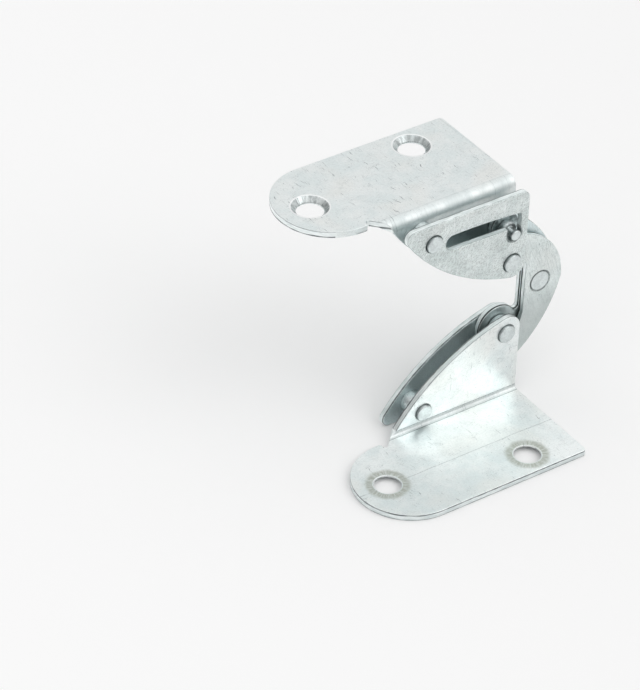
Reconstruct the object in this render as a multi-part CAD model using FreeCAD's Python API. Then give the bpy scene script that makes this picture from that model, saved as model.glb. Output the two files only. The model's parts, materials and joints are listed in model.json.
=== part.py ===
"""Folding leaf hinge: two sheet-metal halves on a pair of crossed links, drawn folded.

A half is a leaf with an upstanding web, a slotted cheek plate beside the web, and the rivets and
spacers that hold the two apart. The links cross in the channel between web and cheek plate.
Each link turns on one half's pivot rivet and slides with its other end in the other half's slot.

Half frame, used to draw a half: X runs along the leaf towards the joint and is 0 at the joint
plane, Y is 0 in the middle of the channel with the leaf on the -Y side, and Z is 0 on the leaf's
outer face. The part's own origin is on the lower leaf's inner face, where the panel lies, midway
between its screw holes.
"""
import FreeCAD, Part
import math
import os

# Sheets, millimetres
leaf_sheet = 1.5
cheek_sheet = 1.5
link_sheet = 1.5
layer_gap = 0.15

# Leaf
leaf_width = 28.8
joint_relief = 0.8
leaf_corner_radius = 0.9
bend_inner_radius = 0.9
notch_radius = 0.6
notch_depth = 1.4
notch_slant = 45.0
notch_shoulder_radius = 0.5
end_arc_beyond_web = 4.5

# Screw holes, countersunk from the outer face
hole_radius = 2.95
countersink_depth = 1.1
near_hole_x = -12.5
near_hole_from_edge = 5.5
far_hole_beyond_centre = 5.1
far_hole_aside = 0.55

# Web and cheek outline
web_arc_above_pivot = 5.2
web_arc_radius = 46.7
web_arc_centre_x = 6.1
web_corner_radius = 3.2
cheek_corner_radius = 2.0
cheek_tip_radius = 1.9

# Fold, with a panel on each leaf
panel_thickness = 25.2
pivot_inset = 4.4
pivot_below_fold = 9.3
elbow_offset = 5.05

# Rivets and spacers
pivot_rivet_radius = 2.1
pivot_spacer_radius = 3.0
end_rivet_radius = 1.95
end_spacer_radius = 2.6
end_rivet_from_tip = 8.5
end_rivet_height = 4.75
rivet_stub = 0.6
rivet_edge_bevel = 0.25
elbow_rivet_radius = 1.9
elbow_rivet_head_radius = 2.5
elbow_rivet_head_depth = 0.55

# Slide pins and their slot
slide_pin_radius = 1.2
slide_pin_head_radius = 1.75
slide_pin_head_depth = 0.5
slide_sleeve_radius = 1.8
slide_sleeve_clearance = 0.6
slide_neck_radius = 0.65
slide_tip_radius = 1.25
slide_tip_gap = 0.1
slide_tip_length = 0.7
slot_width = 3.3
slot_belly = 0.3
slot_flare = 0.3
slot_from_end_rivet = 5.0
slot_below_slide = 3.21
slot_tilt = 2.6
slot_notch_clearance = 0.85
slot_corner_radius = 0.7

# Link outline
link_pivot_end_radius = 5.0
link_slide_end_radius = 3.4
link_elbow_radius = 3.2
link_elbow_x = 2.6
link_elbow_z = 0.2
link_back_roundness = 0.95
link_arm_roundness = 1.47
link_slide_end_depth = 2.8
link_inner_offset = 4.05
link_inner_drop = 2.6
link_throat_radius = 0.8

# Fits
fixed_fit = 0.03
running_fit = 0.05
tolerance = 0.0001

channel = 2 * link_sheet + 3 * layer_gap
half_channel = channel / 2
web_face = half_channel + leaf_sheet
slide_below_pivot = link_pivot_end_radius + slide_sleeve_radius + slide_sleeve_clearance
link_hollow_radius = slide_below_pivot - link_slide_end_depth
fold_height = panel_thickness + leaf_sheet
stack_height = 2 * fold_height
pivot_height = fold_height - pivot_below_fold
slide_rest_height = pivot_height - slide_below_pivot
slot_near_height = slide_rest_height - slot_below_slide
slot_notch_top = slide_rest_height + slide_neck_radius + slot_notch_clearance
web_arc_crown = pivot_height + web_arc_above_pivot
bend_line = -web_face - bend_inner_radius
arc_centre = (web_arc_centre_x, web_arc_crown - web_arc_radius)
arc_foot_x = arc_centre[0] - math.sqrt(web_arc_radius ** 2 - arc_centre[1] ** 2)
bend_outer_radius = bend_inner_radius + leaf_sheet
arc_above_bend = bend_outer_radius - arc_centre[1]
web_foot_x = arc_centre[0] - math.sqrt(web_arc_radius ** 2 - arc_above_bend ** 2)
notch_run = bend_outer_radius / math.tan(math.radians(notch_slant))
bend_end_x = web_foot_x - notch_run
end_centre_x = arc_foot_x - end_arc_beyond_web
end_radius = (leaf_width + bend_line) / 2
cheek_face = half_channel + cheek_sheet
far_layer = layer_gap / 2
pivot = (-pivot_inset, pivot_height)
elbow = (elbow_offset, fold_height)
slide_rest = (-pivot_inset, slide_rest_height)
slide_end = (slide_rest[0], stack_height - slide_rest[1])
other_pivot = (pivot[0], stack_height - pivot[1])
end_rivet = (arc_foot_x + end_rivet_from_tip, end_rivet_height)
slot_far_x = end_rivet[0] + slot_from_end_rivet
near_hole = (near_hole_x, near_hole_from_edge - leaf_width)
far_hole = (end_centre_x - far_hole_beyond_centre, end_radius - leaf_width + far_hole_aside)
screw_holes = (near_hole, far_hole)
origin_x = (near_hole[0] + far_hole[0]) / 2
origin_y = (near_hole[1] + far_hole[1]) / 2
to_row_frame = FreeCAD.Vector(-origin_x, -origin_y, -leaf_sheet)
along_x = FreeCAD.Vector(1, 0, 0)
along_y = FreeCAD.Vector(0, 1, 0)
along_z = FreeCAD.Vector(0, 0, 1)


def in_side_view(point, y=0.0):
    """A point (x, z) of a side outline, in space."""
    return FreeCAD.Vector(point[0], y, point[1])


def in_plan(point, z=0.0):
    """A point (x, y) of a plan outline, in space."""
    return FreeCAD.Vector(point[0], point[1], z)


def line(start, end):
    return Part.makeLine(start, end)


def arc(start, middle, end):
    return Part.Arc(start, middle, end).toShape()


def on_circle(centre, radius, degrees):
    """The point (x, z) at an angle on a circle."""
    angle = math.radians(degrees)
    return (centre[0] + radius * math.cos(angle), centre[1] + radius * math.sin(angle))


def bearing(start, end):
    """The direction from one point (x, z) to another, in degrees."""
    return math.degrees(math.atan2(end[1] - start[1], end[0] - start[0]))


def circle_arc(centre, radius, start, sweep):
    """An arc in the side view from an angle, turning by sweep degrees."""
    points = [on_circle(centre, radius, start + sweep * part) for part in (0, 0.5, 1)]
    return arc(*[in_side_view(point) for point in points])


def prism(edges, direction):
    """The solid that an outline sweeps along a vector."""
    wire = Part.Wire(Part.__sortEdges__(edges))
    return Part.Face(wire).extrude(direction)


def turned(profile, centre, start_y=0.0):
    """A turned piece along Y: profile is (distance along Y, radius) from one face to the other."""
    points = [FreeCAD.Vector(0, profile[0][0], 0)]
    points += [FreeCAD.Vector(radius, y, 0) for y, radius in profile]
    points += [FreeCAD.Vector(0, profile[-1][0], 0)]
    edges = [line(a, b) for a, b in zip(points, points[1:] + points[:1])]
    solid = Part.Face(Part.Wire(edges)).revolve(FreeCAD.Vector(), along_y, 360)
    solid.translate(in_side_view(centre, start_y))
    return solid


def drill(centre, radius, start_y, length):
    """The cutter of a cylindrical hole along Y."""
    return Part.makeCylinder(radius, length, in_side_view(centre, start_y), along_y)


def circles_meet(first, first_radius, second, second_radius, side):
    """The point at the given distances from two centres, on the left (+1) or right (-1)."""
    gap = math.dist(first, second)
    along = (first_radius ** 2 - second_radius ** 2 + gap ** 2) / (2 * gap)
    across = side * math.sqrt(max(first_radius ** 2 - along ** 2, 0))
    ux = (second[0] - first[0]) / gap
    uz = (second[1] - first[1]) / gap
    return (first[0] + along * ux - across * uz, first[1] + along * uz + across * ux)


def top_edges(joint_edge_foot, corner_radius, arc_end):
    """The joint edge, the rounded corner and the long arc, which web and cheek plate share."""
    corner_x = -joint_relief - corner_radius
    reach = web_arc_radius - corner_radius
    rise = math.sqrt(reach ** 2 - (corner_x - arc_centre[0]) ** 2)
    corner = (corner_x, arc_centre[1] + rise)
    turn = bearing(arc_centre, corner)
    end = bearing(arc_centre, arc_end)
    joint_edge_top = (-joint_relief, corner[1])
    return [
        line(in_side_view(joint_edge_foot), in_side_view(joint_edge_top)),
        circle_arc(corner, corner_radius, 0, turn),
        circle_arc(arc_centre, web_arc_radius, turn, end - turn),
    ]


def flange_plan():
    """The flat leaf's outline from above: square joint end, round far end, slanted relief notch."""
    slant = math.radians(notch_slant)
    notch_y = bend_line - notch_depth + notch_radius
    slant_y = notch_y - notch_radius * math.cos(slant)
    slant_x = bend_end_x - (bend_line - slant_y) / math.tan(slant)
    notch_x = slant_x - notch_radius * math.sin(slant)
    wall_x = notch_x - notch_radius
    shoulder = (wall_x - notch_shoulder_radius, bend_line - notch_shoulder_radius)
    shoulder_turn = notch_shoulder_radius * math.sqrt(0.5)
    tip_x = end_centre_x - end_radius
    corner_x = -joint_relief - leaf_corner_radius
    corner_y = -leaf_width + leaf_corner_radius
    diagonal = leaf_corner_radius * math.sqrt(0.5)
    return [
        line(in_plan((-joint_relief, bend_line)), in_plan((-joint_relief, corner_y))),
        arc(
            in_plan((-joint_relief, corner_y)),
            in_plan((corner_x + diagonal, corner_y - diagonal)),
            in_plan((corner_x, -leaf_width)),
        ),
        line(in_plan((corner_x, -leaf_width)), in_plan((end_centre_x, -leaf_width))),
        arc(
            in_plan((end_centre_x, -leaf_width)),
            in_plan((tip_x, -leaf_width + end_radius)),
            in_plan((end_centre_x, bend_line)),
        ),
        line(in_plan((end_centre_x, bend_line)), in_plan((shoulder[0], bend_line))),
        arc(
            in_plan((shoulder[0], bend_line)),
            in_plan((shoulder[0] + shoulder_turn, shoulder[1] + shoulder_turn)),
            in_plan((wall_x, shoulder[1])),
        ),
        line(in_plan((wall_x, shoulder[1])), in_plan((wall_x, notch_y))),
        arc(
            in_plan((wall_x, notch_y)),
            in_plan((notch_x, notch_y - notch_radius)),
            in_plan((slant_x, slant_y)),
        ),
        line(in_plan((slant_x, slant_y)), in_plan((bend_end_x, bend_line))),
        line(in_plan((bend_end_x, bend_line)), in_plan((-joint_relief, bend_line))),
    ]


def make_bend():
    """The quarter turn between flat leaf and web, its far end sheared on the slant."""
    mid = math.sqrt(0.5)

    def at(radius, y_part, z_part):
        y = bend_line + radius * y_part
        return FreeCAD.Vector(-joint_relief, y, bend_outer_radius - radius * z_part)

    outer, inner = bend_outer_radius, bend_inner_radius
    ring = [
        arc(at(outer, 0, 1), at(outer, mid, mid), at(outer, 1, 0)),
        line(at(outer, 1, 0), at(inner, 1, 0)),
        arc(at(inner, 1, 0), at(inner, mid, mid), at(inner, 0, 1)),
        line(at(inner, 0, 1), at(outer, 0, 1)),
    ]
    strip = prism(ring, along_x * (bend_end_x + joint_relief))
    above = [(bend_end_x, bend_line), (web_foot_x, -half_channel), (bend_end_x, -half_channel)]
    beside = [(bend_end_x, leaf_sheet), (web_foot_x, outer), (bend_end_x, outer)]
    from_above = Part.makePolygon([in_plan(point) for point in above + above[:1]])
    from_side = Part.makePolygon([in_side_view(point, bend_line) for point in beside + beside[:1]])
    strip = strip.cut(Part.Face(from_above).extrude(along_z * outer))
    return strip.cut(Part.Face(from_side).extrude(along_y * outer))


def web_outline():
    """The upright plate's outline from the side, down to the top of the bend."""
    root = (-joint_relief, bend_outer_radius)
    foot = (web_foot_x, bend_outer_radius)
    return top_edges(root, web_corner_radius, foot) + [line(in_side_view(foot), in_side_view(root))]


def screw_cutter(x, y):
    """A through hole with its countersink on the outer face."""
    wide = hole_radius + countersink_depth
    cone = Part.makeCone(wide, hole_radius, countersink_depth, FreeCAD.Vector(x, y, 0), along_z)
    bore = Part.makeCylinder(hole_radius, leaf_sheet, FreeCAD.Vector(x, y, 0), along_z)
    return cone.fuse(bore)


def make_leaf():
    """Leaf and web, one bent sheet."""
    flange = prism(flange_plan(), along_z * leaf_sheet)
    web = prism(web_outline(), along_y * leaf_sheet)
    web.translate(along_y * -web_face)
    leaf = flange.fuse([make_bend(), web]).removeSplitter()
    for x, y in screw_holes:
        leaf = leaf.cut(screw_cutter(x, y))
    return drill_for_rivets(leaf, -web_face, leaf_sheet)


def drill_for_rivets(plate, start_y, thickness):
    """The plate with the holes of the half's two fixed rivets."""
    for centre, radius in ((pivot, pivot_rivet_radius), (end_rivet, end_rivet_radius)):
        plate = plate.cut(drill(centre, radius + fixed_fit, start_y, thickness))
    return plate


def slot_outline():
    """The cheek plate's slot: a long run with a notch at the joint end, away from the leaf."""
    half = slot_width / 2
    far_half = half + slot_flare / 2
    tilt = math.radians(slot_tilt)
    near = (slide_rest[0], slot_near_height)
    run = near[0] - slot_far_x
    far = (slot_far_x, near[1] - run * math.tan(tilt) + slot_flare / 2)
    up = (-math.sin(tilt), math.cos(tilt))
    far_low = (far[0] - far_half * up[0], far[1] - far_half * up[1])
    far_high = (far[0] + far_half * up[0], far[1] + far_half * up[1])
    far_tip = (far[0] - far_half * up[1], far[1] + far_half * up[0])
    wall = near[0] + half
    step = near[0] - half
    low_corner = (wall, near[1] - half + half * math.tan(tilt))
    step_corner = (step, near[1] + half - half * math.tan(tilt))
    low_middle = ((far_low[0] + wall) / 2, (far_low[1] + low_corner[1]) / 2 - slot_belly)
    top = slot_notch_top
    return [
        arc(in_side_view(far_low), in_side_view(low_middle), in_side_view(low_corner)),
        line(in_side_view(low_corner), in_side_view((wall, top - half))),
        arc(
            in_side_view((wall, top - half)),
            in_side_view((near[0], top)),
            in_side_view((step, top - half)),
        ),
        line(in_side_view((step, top - half)), in_side_view(step_corner)),
        line(in_side_view(step_corner), in_side_view(far_high)),
        arc(in_side_view(far_high), in_side_view(far_tip), in_side_view(far_low)),
    ]


def make_cheek_plate():
    """The flat plate beside the web, standing on its straight bottom edge."""
    reach = web_arc_radius - cheek_tip_radius
    tip_x = arc_centre[0] - math.sqrt(reach ** 2 - (cheek_tip_radius - arc_centre[1]) ** 2)
    tip = (tip_x, cheek_tip_radius)
    turn = bearing(arc_centre, tip)
    corner = (-joint_relief - cheek_corner_radius, cheek_corner_radius)
    foot = (-joint_relief, cheek_corner_radius)
    edges = top_edges(foot, web_corner_radius, on_circle(arc_centre, web_arc_radius, turn))
    edges += [
        circle_arc(tip, cheek_tip_radius, turn, 270 - turn),
        line(in_side_view((tip[0], 0)), in_side_view((corner[0], 0))),
        circle_arc(corner, cheek_corner_radius, 270, 90),
    ]
    plate = prism(edges, along_y * cheek_sheet)
    slot = prism(slot_outline(), along_y * cheek_sheet)
    rounded = [edge for edge in slot.Edges if is_slot_corner(edge)]
    plate = plate.cut(slot.makeFillet(slot_corner_radius, rounded))
    plate.translate(along_y * half_channel)
    return drill_for_rivets(plate, half_channel, cheek_sheet)


def is_slot_corner(edge):
    """Whether an edge is one of the slot's two square corners at the notch."""
    middle = edge.valueAt((edge.FirstParameter + edge.LastParameter) / 2)
    half = slot_width / 2
    runs_through = edge.BoundBox.YLength > cheek_sheet / 2
    at_a_side = abs(abs(middle.x - slide_rest[0]) - half) < tolerance
    below_notch = middle.z < slot_notch_top - slot_width + tolerance
    return runs_through and at_a_side and below_notch


def tangent_point(centre, radius, outside, side):
    """Where the tangent from an outside point touches a circle, on the left (+1) or right (-1)."""
    gap = math.dist(centre, outside)
    half = math.degrees(math.acos(radius / gap))
    return on_circle(centre, radius, bearing(centre, outside) + side * half)


def link_outline():
    """The link's crescent: round ends, a bowed back and a nearly straight inner edge."""
    corner = (elbow[0] + link_elbow_x, elbow[1] + link_elbow_z)
    back_radius = link_back_roundness * math.dist(pivot, corner)
    arm_radius = link_arm_roundness * math.dist(corner, slide_end)
    back = circles_meet(pivot, back_radius - link_pivot_end_radius,
                        corner, back_radius - link_elbow_radius, 1)
    arm = circles_meet(corner, arm_radius - link_elbow_radius,
                       slide_end, arm_radius - link_slide_end_radius, 1)
    neck = circles_meet(other_pivot, link_hollow_radius, slide_end, link_slide_end_radius, 1)
    inner = (elbow[0] - link_inner_offset, other_pivot[1] - link_inner_drop)
    inner_end = tangent_point(other_pivot, link_hollow_radius, inner, 1)
    reach = link_pivot_end_radius + link_throat_radius
    throat_x = inner[0] - link_throat_radius
    rise = math.sqrt(reach ** 2 - (throat_x - pivot[0]) ** 2)
    throat = (throat_x, pivot[1] + rise)
    inner_start = (inner[0], throat[1])
    pivot_turn = bearing(pivot, throat)
    back_start = bearing(back, pivot)
    back_end = bearing(back, corner)
    arm_start = bearing(arm, corner)
    arm_end = bearing(arm, slide_end)
    slide_turn = bearing(slide_end, neck) + 360
    hollow_start = bearing(other_pivot, neck)
    hollow_end = bearing(other_pivot, inner_end)
    return [
        circle_arc(pivot, link_pivot_end_radius, pivot_turn, back_start + 360 - pivot_turn),
        circle_arc(back, back_radius, back_start, back_end - back_start),
        circle_arc(corner, link_elbow_radius, back_end, arm_start - back_end),
        circle_arc(arm, arm_radius, arm_start, arm_end - arm_start),
        circle_arc(slide_end, link_slide_end_radius, arm_end, slide_turn - arm_end),
        circle_arc(other_pivot, link_hollow_radius, hollow_start, hollow_end - hollow_start),
        line(in_side_view(inner_end), in_side_view(inner)),
        line(in_side_view(inner), in_side_view(inner_start)),
        circle_arc(throat, link_throat_radius, 0, pivot_turn - 180),
    ]


def make_link():
    """The link that turns on the lower pivot, in the layer beside the lower cheek plate."""
    plate = prism(link_outline(), along_y * link_sheet)
    plate.translate(along_y * far_layer)
    far_face = far_layer + link_sheet
    plate = plate.cut(drill(pivot, pivot_rivet_radius + running_fit, far_layer, link_sheet))
    plate = plate.cut(rivet_seat(elbow, elbow_rivet_radius, elbow_rivet_head_radius,
                                 elbow_rivet_head_depth, far_face, running_fit))
    plate = plate.cut(rivet_seat(slide_end, slide_pin_radius, slide_pin_head_radius,
                                 slide_pin_head_depth, far_face, fixed_fit))
    return plate


def rivet_seat(centre, radius, head_radius, head_depth, far_face, fit):
    """The cutter for a flush rivet whose head lies in the link's far face."""
    profile = (
        (0, radius + fit),
        (link_sheet - head_depth, radius + fit),
        (link_sheet, head_radius + fit),
    )
    return turned(profile, centre, far_face - link_sheet)


def make_stub_rivet(centre, radius):
    """A rivet through web, channel and cheek plate, whose bevelled ends stand proud."""
    length = web_face + cheek_face + 2 * rivet_stub
    profile = (
        (0, radius - rivet_edge_bevel),
        (rivet_edge_bevel, radius),
        (length - rivet_edge_bevel, radius),
        (length, radius - rivet_edge_bevel),
    )
    return turned(profile, centre, -web_face - rivet_stub)


def make_spacer(centre, bore_radius, radius, start_y, end_y):
    """A plain tube on a rivet, between two plates."""
    length = end_y - start_y
    tube = drill(centre, radius, start_y, length)
    return tube.cut(drill(centre, bore_radius + fixed_fit, start_y, length))


def make_elbow_rivet():
    """The rivet that joins the links where they cross, flush on both sides."""
    length = 2 * link_sheet + layer_gap
    profile = (
        (0, elbow_rivet_head_radius),
        (elbow_rivet_head_depth, elbow_rivet_radius),
        (length - elbow_rivet_head_depth, elbow_rivet_radius),
        (length, elbow_rivet_head_radius),
    )
    return turned(profile, elbow, -length / 2)


def make_slide_pin():
    """The stepped pin in the link's slide end, which reaches through the upper cheek's slot."""
    far_face = far_layer + link_sheet
    cheek_outside = far_face + cheek_face
    cheek_inside = far_face + half_channel - layer_gap
    tip_start = cheek_outside + slide_tip_gap
    tip_end = tip_start + slide_tip_length
    profile = (
        (0, slide_pin_head_radius),
        (slide_pin_head_depth, slide_pin_radius),
        (cheek_inside, slide_pin_radius),
        (cheek_inside, slide_neck_radius),
        (tip_start, slide_neck_radius),
        (tip_start, slide_tip_radius),
        (tip_end - rivet_edge_bevel, slide_tip_radius),
        (tip_end, slide_tip_radius - rivet_edge_bevel),
    )
    pin = turned(profile, (0, 0))
    pin.rotate(FreeCAD.Vector(), along_x, 180)
    pin.translate(in_side_view(slide_end, far_face))
    return pin


def upper(shape):
    """The same piece on the other half: turned over about X and stacked above."""
    copy = shape.copy()
    copy.rotate(FreeCAD.Vector(), along_x, 180)
    copy.translate(along_z * stack_height)
    return copy


def make_half():
    """The fixed pieces of the lower half, by name."""
    return {
        "leaf": make_leaf(),
        "cheek_plate": make_cheek_plate(),
        "pivot_rivet": make_stub_rivet(pivot, pivot_rivet_radius),
        "pivot_spacer": make_spacer(pivot, pivot_rivet_radius, pivot_spacer_radius,
                                    -half_channel, -far_layer),
        "end_rivet": make_stub_rivet(end_rivet, end_rivet_radius),
        "end_spacer": make_spacer(end_rivet, end_rivet_radius, end_spacer_radius,
                                  -half_channel, half_channel),
    }


def make_link_set():
    """The link that turns on the lower pivot, with its slide pin and sleeve."""
    sleeve_start = -half_channel + layer_gap
    return {
        "link": make_link(),
        "slide_pin": make_slide_pin(),
        "slide_sleeve": make_spacer(slide_end, slide_pin_radius, slide_sleeve_radius,
                                    sleeve_start, far_layer),
    }


def build():
    """Every piece in the half frame, by node name."""
    pieces = {}
    for name, shape in make_half().items():
        pieces["lower_" + name] = shape
        pieces["upper_" + name] = upper(shape)
    for name, shape in make_link_set().items():
        pieces["far_" + name] = shape
        pieces["near_" + name] = upper(shape)
    pieces["elbow_rivet"] = make_elbow_rivet()
    return pieces


def export(pieces):
    """One STEP file for each piece, in the row frame."""
    os.makedirs("parts", exist_ok=True)
    for name, shape in pieces.items():
        placed = shape.copy()
        placed.translate(to_row_frame)
        placed.exportStep("parts/" + name + ".step")


export(build())
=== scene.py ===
"""Folding leaf hinge in zinc-plated steel, folded: finishes, rivets and a studio stage on the frame."""
import functools
import json
import math
import bmesh
import bpy
from mathutils import Matrix, Vector

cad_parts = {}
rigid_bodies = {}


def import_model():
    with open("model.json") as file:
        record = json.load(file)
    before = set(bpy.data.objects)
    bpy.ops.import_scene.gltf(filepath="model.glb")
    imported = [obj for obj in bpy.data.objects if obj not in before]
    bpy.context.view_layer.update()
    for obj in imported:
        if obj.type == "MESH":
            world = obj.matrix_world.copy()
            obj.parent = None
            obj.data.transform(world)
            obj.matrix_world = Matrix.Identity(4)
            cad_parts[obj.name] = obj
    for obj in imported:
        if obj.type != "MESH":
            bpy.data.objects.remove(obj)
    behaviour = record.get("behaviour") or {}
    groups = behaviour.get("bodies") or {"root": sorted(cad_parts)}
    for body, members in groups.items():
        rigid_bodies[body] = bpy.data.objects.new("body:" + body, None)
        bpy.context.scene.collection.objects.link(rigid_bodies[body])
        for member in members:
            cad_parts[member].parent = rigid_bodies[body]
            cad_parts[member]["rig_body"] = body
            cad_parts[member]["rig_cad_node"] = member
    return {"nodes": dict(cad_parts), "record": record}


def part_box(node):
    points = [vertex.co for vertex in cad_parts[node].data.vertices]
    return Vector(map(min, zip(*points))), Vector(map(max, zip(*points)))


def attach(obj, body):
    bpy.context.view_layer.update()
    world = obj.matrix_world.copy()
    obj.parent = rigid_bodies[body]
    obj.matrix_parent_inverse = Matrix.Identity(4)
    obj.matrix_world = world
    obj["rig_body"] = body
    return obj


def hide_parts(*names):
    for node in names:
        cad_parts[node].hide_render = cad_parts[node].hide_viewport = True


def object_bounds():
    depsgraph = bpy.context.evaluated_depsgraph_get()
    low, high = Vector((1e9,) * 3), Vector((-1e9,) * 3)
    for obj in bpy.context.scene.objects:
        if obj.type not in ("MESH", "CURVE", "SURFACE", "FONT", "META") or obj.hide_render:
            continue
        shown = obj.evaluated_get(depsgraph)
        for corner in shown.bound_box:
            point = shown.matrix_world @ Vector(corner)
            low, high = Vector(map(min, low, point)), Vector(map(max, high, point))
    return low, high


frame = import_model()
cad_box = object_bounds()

bl_info = {
    "name": "Folding leaf hinge",
    "version": (1, 0, 0),
    "blender": (4, 5, 0),
    "location": "View3D > Sidebar > Hinge",
    "description": "Zinc-plated folding leaf hinge with its rivets, finishes and stage",
    "category": "Add Mesh",
}

HALVES = ("lower", "upper")
SIDES = ("near", "far")
STUBS = ("pivot", "end")
SLIDES_IN = {"lower": "near", "upper": "far"}
MM = 0.001

# How the pieces of one kind differ, in the words of SheetLook
LEAF_LOOKS = {
    "lower": {"seed": 3.0, "marks": 0.85, "tone": 1.09, "depth": 0.5},
    "upper": {"seed": 21.0, "marks": 1.3, "tone": 1.02, "depth": 0.8},
}
CHEEK_SEEDS = {"lower": 40.0, "upper": 57.0}
LINK_SEEDS = {"near": 71.0, "far": 83.0}

# In millimetres: the bend's upper line over the flange's outer face, the screw hole and its countersink,
# and the heights between which the painted shade on a link's lower end fades. In sheets: the bend's lower
# line
BEND_TOP = 2.4
BEND_FOOT = -0.6
HOLE_RADIUS = 2.95
CONE_RADIUS = 4.05
LINK_SHADE_FADE = (17.0, 25.0)

# How strong the dark line in the joint, deepened by painted shade, is round a stub rivet, the elbow rivet and
# a slide pin
STUB_JOINT_SHADE = 0.6
ELBOW_JOINT_SHADE = 0.8
PIN_JOINT_SHADE = 0.85

# How the copies of CAD nodes are cleaned, rounded and shaded
MERGE_WITHIN = 0.000002
FLAT_ANGLE = math.radians(0.8)
EDGE_ANGLE = math.radians(32)
EDGE_STEPS = 3
ROLLED_STEPS = 4
SMOOTH_ANGLE = math.radians(50)

# Sheared faces: how tall the bend is in sheets, and the limit that tells a cut face by its direction
BEND_SHEETS = 1.6
CUT_LEAN = 0.6

# Stub rivets: their turn, sides round, steps on the rim, and the dish in the end, with shares of the width
ALONG_Y = (math.radians(90), 0, 0)
BAR_SIDES = 64
RIM_STEPS = 5
DISH_RIM = 0.12
DISH_SLOPE = 0.06
DISH_DEPTH = 0.00003

# Stage, in metres but for the camera's sensor
FLOOR_SIZE = 12.0
FLOOR_GAP = 0.00002
CLIP = (0.01, 50.0)
SENSOR_MM = 36.0

# Where the light changes, as sines of the height: from the horizon up and down, and up to the zenith
HORIZON_ENDS = (0.02, 0.12)
OVERHEAD_GROWS = (0.25, 0.95)


# Shader sockets with operators

class Wire:
    """A node socket that takes part in Python expressions."""

    def __init__(self, graph, socket):
        self.graph = graph
        self.socket = socket

    def math(self, operation, *values):
        return self.graph.node("ShaderNodeMath", {"operation": operation}, values)[0]

    def __add__(self, other):
        return self.math("ADD", self, other)

    __radd__ = __add__

    def __sub__(self, other):
        return self.math("SUBTRACT", self, other)

    def __rsub__(self, other):
        return self.math("SUBTRACT", other, self)

    def __mul__(self, other):
        return self.math("MULTIPLY", self, other)

    __rmul__ = __mul__

    def __pow__(self, other):
        return self.math("POWER", self, other)

    def __rpow__(self, other):
        return self.math("POWER", other, self)

    def __abs__(self):
        return self.math("ABSOLUTE", self)

    def most(self, other):
        """The larger of two values."""
        return self.math("MAXIMUM", self, other)


def strongest(masks):
    """The largest of several values at each point."""
    return functools.reduce(Wire.most, masks)


def away_from(x, y, circle_x, circle_y):
    """The distance from an axis."""
    return ((x - circle_x) ** 2.0 + (y - circle_y) ** 2.0) ** 0.5


def rgb(color, tone=1.0):
    return tuple(min(channel * tone, 1.0) for channel in tuple(color)[:3]) + (1.0,)


class Graph:
    """A node tree built from expressions."""

    def __init__(self, tree):
        self.tree = tree
        tree.nodes.clear()

    def node(self, kind, settings=None, values=()):
        """Adds a node, sets it, feeds its sockets and gives back its outputs."""
        made = self.tree.nodes.new(kind)
        for key, value in (settings or {}).items():
            setattr(made, key, value)
        pairs = values.items() if isinstance(values, dict) else enumerate(values)
        for key, value in pairs:
            if isinstance(value, Wire):
                self.tree.links.new(value.socket, made.inputs[key])
            else:
                made.inputs[key].default_value = value
        return [Wire(self, socket) for socket in made.outputs]

    def apart(self, vector):
        """A vector's x, y and z."""
        return self.node("ShaderNodeSeparateXYZ", None, (vector,))

    def point(self, x, y, z=0.0):
        return self.node("ShaderNodeCombineXYZ", None, (x, y, z))[0]

    def noise(self, point, scale=1.0, detail=1.0, roughness=0.5):
        values = {"Vector": point, "Scale": scale, "Detail": detail, "Roughness": roughness}
        return self.node("ShaderNodeTexNoise", None, values)[0]

    def streaks(self, along, across, rates, seed, detail=1.0, roughness=0.5):
        """Noise with a rate of its own along and across."""
        point = self.point(along * rates[0], across * rates[1], seed)
        return self.noise(point, detail=detail, roughness=roughness)

    def step(self, value, low, high, to_low=0.0, to_high=1.0):
        """Goes smoothly from one value to another as the input passes from low to high."""
        settings = {"interpolation_type": "SMOOTHSTEP"}
        values = {0: value, 1: low, 2: high, 3: to_low, 4: to_high}
        return self.node("ShaderNodeMapRange", settings, values)[0]

    def fall(self, value, low, high):
        """Goes smoothly from 1 to 0 as the input passes from low to high."""
        return self.step(value, low, high, 1.0, 0.0)

    def line(self, value, place, core, reach):
        """A line where a value comes near a place: 1 within its core and 0 out of its reach."""
        return self.fall(abs(value - place), core, reach)

    def mix(self, factor, first, second):
        return self.node("ShaderNodeMix", {"data_type": "RGBA"}, {0: factor, 6: first, 7: second})[2]


class Finish(Graph):
    """One material's node tree."""

    def __init__(self, name):
        self.material = bpy.data.materials.new(name)
        self.material.use_nodes = True
        super().__init__(self.material.node_tree)


# Finishes

class Circle:
    """A circle round a hole or a rivet, in millimetres, and how dark its joint line and painted shade at its
    rim are.
    """

    def __init__(self, x, y, z, radius, joint_shade=0.0):
        self.x, self.y, self.z, self.radius, self.joint_shade = x, y, z, radius, joint_shade


class Zinc(Finish):
    """Zinc on steel, laid on coat by coat, where x, y and z are Object coordinates in millimetres."""

    def __init__(self, name, colors, seed):
        super().__init__(name)
        self.colors, self.seed = colors, seed
        values = {0: self.node("ShaderNodeTexCoord")[3], "Scale": 1 / MM}
        scaled = self.node("ShaderNodeVectorMath", {"operation": "SCALE"}, values)[0]
        self.x, self.y, self.z = self.apart(scaled)

    def coat(self, mask, color, strength=1.0, tone=1.0):
        """Lays a tone of a colour over what is there."""
        factor = mask if strength == 1.0 else mask * strength
        self.color = self.mix(factor, self.color, rgb(color, tone))

    def metal(self, bump_strength, bump_distance):
        """Ends the tree in a metal with a bump."""
        values = {"Strength": bump_strength, "Distance": bump_distance, "Height": self.height}
        bump = self.node("ShaderNodeBump", None, values)[0]
        values = {"Base Color": self.color, "Roughness": self.roughness, "Metallic": 1.0, "Normal": bump}
        shader = self.node("ShaderNodeBsdfPrincipled", None, values)[0]
        self.node("ShaderNodeOutputMaterial", None, {"Surface": shader})
        return self.material


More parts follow.
